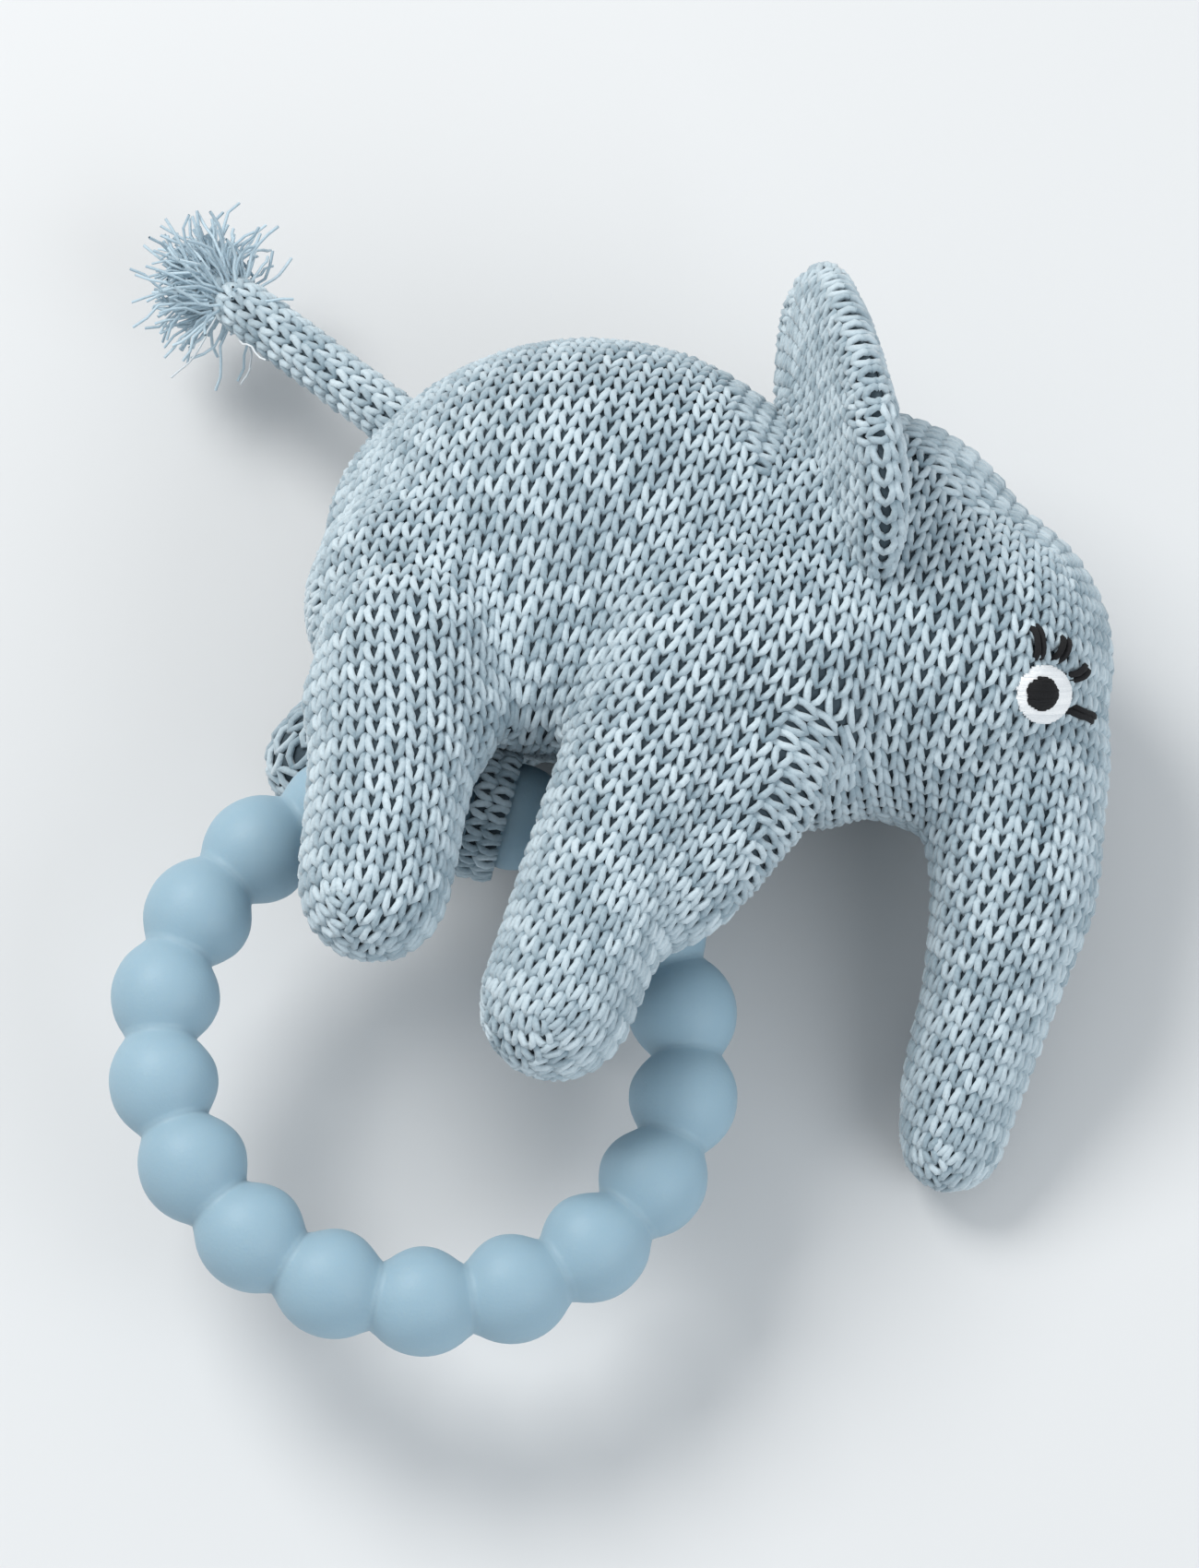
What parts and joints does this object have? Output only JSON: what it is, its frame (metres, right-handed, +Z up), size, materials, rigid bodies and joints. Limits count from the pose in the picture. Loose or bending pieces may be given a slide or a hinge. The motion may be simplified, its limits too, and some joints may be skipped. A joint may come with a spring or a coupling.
{
  "type": "stuffed elephant",
  "caption": "Small crocheted elephant rattle with a silicone bead teething ring, soft legs, ears, trunk and tufted tail.",
  "frame": {"origin": "centre of the flat under the body, where it rests on its left side", "axes": "+X towards the head, +Y towards the back, +Z up through the right side"},
  "size_m": [0.1009, 0.126, 0.0526],
  "materials": {
    "yarn": "matte cotton yarn in single crochet",
    "tuft_yarn": "loose brushed yarn",
    "stuffing": "polyester fibre fill",
    "white_thread": "embroidery cotton",
    "black_thread": "embroidery cotton",
    "silicone": "matte food-grade silicone",
    "rattle_plastic": "plain",
    "pellets": "plain"
  },
  "bodies": {
    "torso": {"body_cover": "yarn", "body_stuffing": "stuffing", "rattle_case": "rattle_plastic", "rattle_pellets": "pellets"},
    "head": {"head_cover": "yarn", "head_stuffing": "stuffing", "right_eye_white": "white_thread", "right_pupil": "black_thread", "right_lashes": "black_thread", "left_eye_white": "white_thread", "left_pupil": "black_thread", "left_lashes": "black_thread"},
    "trunk": {"trunk_cover": "yarn", "trunk_stuffing": "stuffing"},
    "right_ear": {"right_ear": "yarn"},
    "left_ear": {"left_ear": "yarn"},
    "right_front_leg": {"right_front_leg_cover": "yarn", "right_front_leg_stuffing": "stuffing"},
    "right_rear_leg": {"right_rear_leg_cover": "yarn", "right_rear_leg_stuffing": "stuffing"},
    "left_front_leg": {"left_front_leg_cover": "yarn", "left_front_leg_stuffing": "stuffing"},
    "left_rear_leg": {"left_rear_leg_cover": "yarn", "left_rear_leg_stuffing": "stuffing"},
    "tail": {"tail": "yarn", "tail_tuft": "tuft_yarn"},
    "belly_loop": {"belly_loop": "yarn"},
    "ring": {"bead_ring": "silicone"}
  },
  "joints": [
    {"name": "neck_nod", "type": "hinge", "parent": "torso", "child": "head", "pos_m": [0.0335, -0.0089, 0.0196], "axis": [0, 0, 1], "range_deg": [-5, 5], "stiffness_Nm_per_rad": 0.02},
    {"name": "trunk_curl", "type": "hinge", "parent": "head", "child": "trunk", "pos_m": [0.043, -0.0235, 0.0196], "axis": [0, 0, 1], "range_deg": [-12, 12], "stiffness_Nm_per_rad": 0.01},
    {"name": "right_ear_flap", "type": "hinge", "parent": "head", "child": "right_ear", "pos_m": [0.02465, 0.00885, 0.0379], "axis": [-0.2596, 0.9401, -0.2209], "range_deg": [-20, 20], "stiffness_Nm_per_rad": 0.005},
    {"name": "left_ear_flap", "type": "hinge", "parent": "head", "child": "left_ear", "pos_m": [0.0255, 0.00935, 0.0023], "axis": [0.9055, -0.4244, 0], "range_deg": [0, 20], "stiffness_Nm_per_rad": 0.005},
    {"name": "right_front_hip", "type": "hinge", "parent": "torso", "child": "right_front_leg", "pos_m": [0.0095, -0.0169, 0.0346], "axis": [0, 0, 1], "range_deg": [-8, 8], "stiffness_Nm_per_rad": 0.01},
    {"name": "right_rear_hip", "type": "hinge", "parent": "torso", "child": "right_rear_leg", "pos_m": [-0.018, -0.0159, 0.0358], "axis": [0, 0, 1], "range_deg": [-8, 4], "stiffness_Nm_per_rad": 0.01},
    {"name": "left_front_hip", "type": "hinge", "parent": "torso", "child": "left_front_leg", "pos_m": [0.0095, -0.0159, 0.0064], "axis": [0, 0, 1], "range_deg": [-8, 8], "stiffness_Nm_per_rad": 0.01},
    {"name": "left_rear_hip", "type": "hinge", "parent": "torso", "child": "left_rear_leg", "pos_m": [-0.0105, -0.0139, 0.0068], "axis": [0, 0, 1], "range_deg": [-8, 8], "stiffness_Nm_per_rad": 0.01},
    {"name": "tail_wag", "type": "hinge", "parent": "torso", "child": "tail", "pos_m": [-0.0195, 0.0141, 0.021], "axis": [0, 0, 1], "range_deg": [-20, 20], "stiffness_Nm_per_rad": 0.005},
    {"name": "loop_swing", "type": "hinge", "parent": "torso", "child": "belly_loop", "pos_m": [-0.0085, -0.0185, 0.02], "axis": [0.1045, 0, 0.9945], "range_deg": [-5, 5], "stiffness_Nm_per_rad": 0.02},
    {"name": "ring_spin", "type": "hinge", "parent": "belly_loop", "child": "ring", "pos_m": [-0.0165, -0.0532, 0.0206], "axis": [0.1045, 0, 0.9945], "continuous": true}
  ]
}
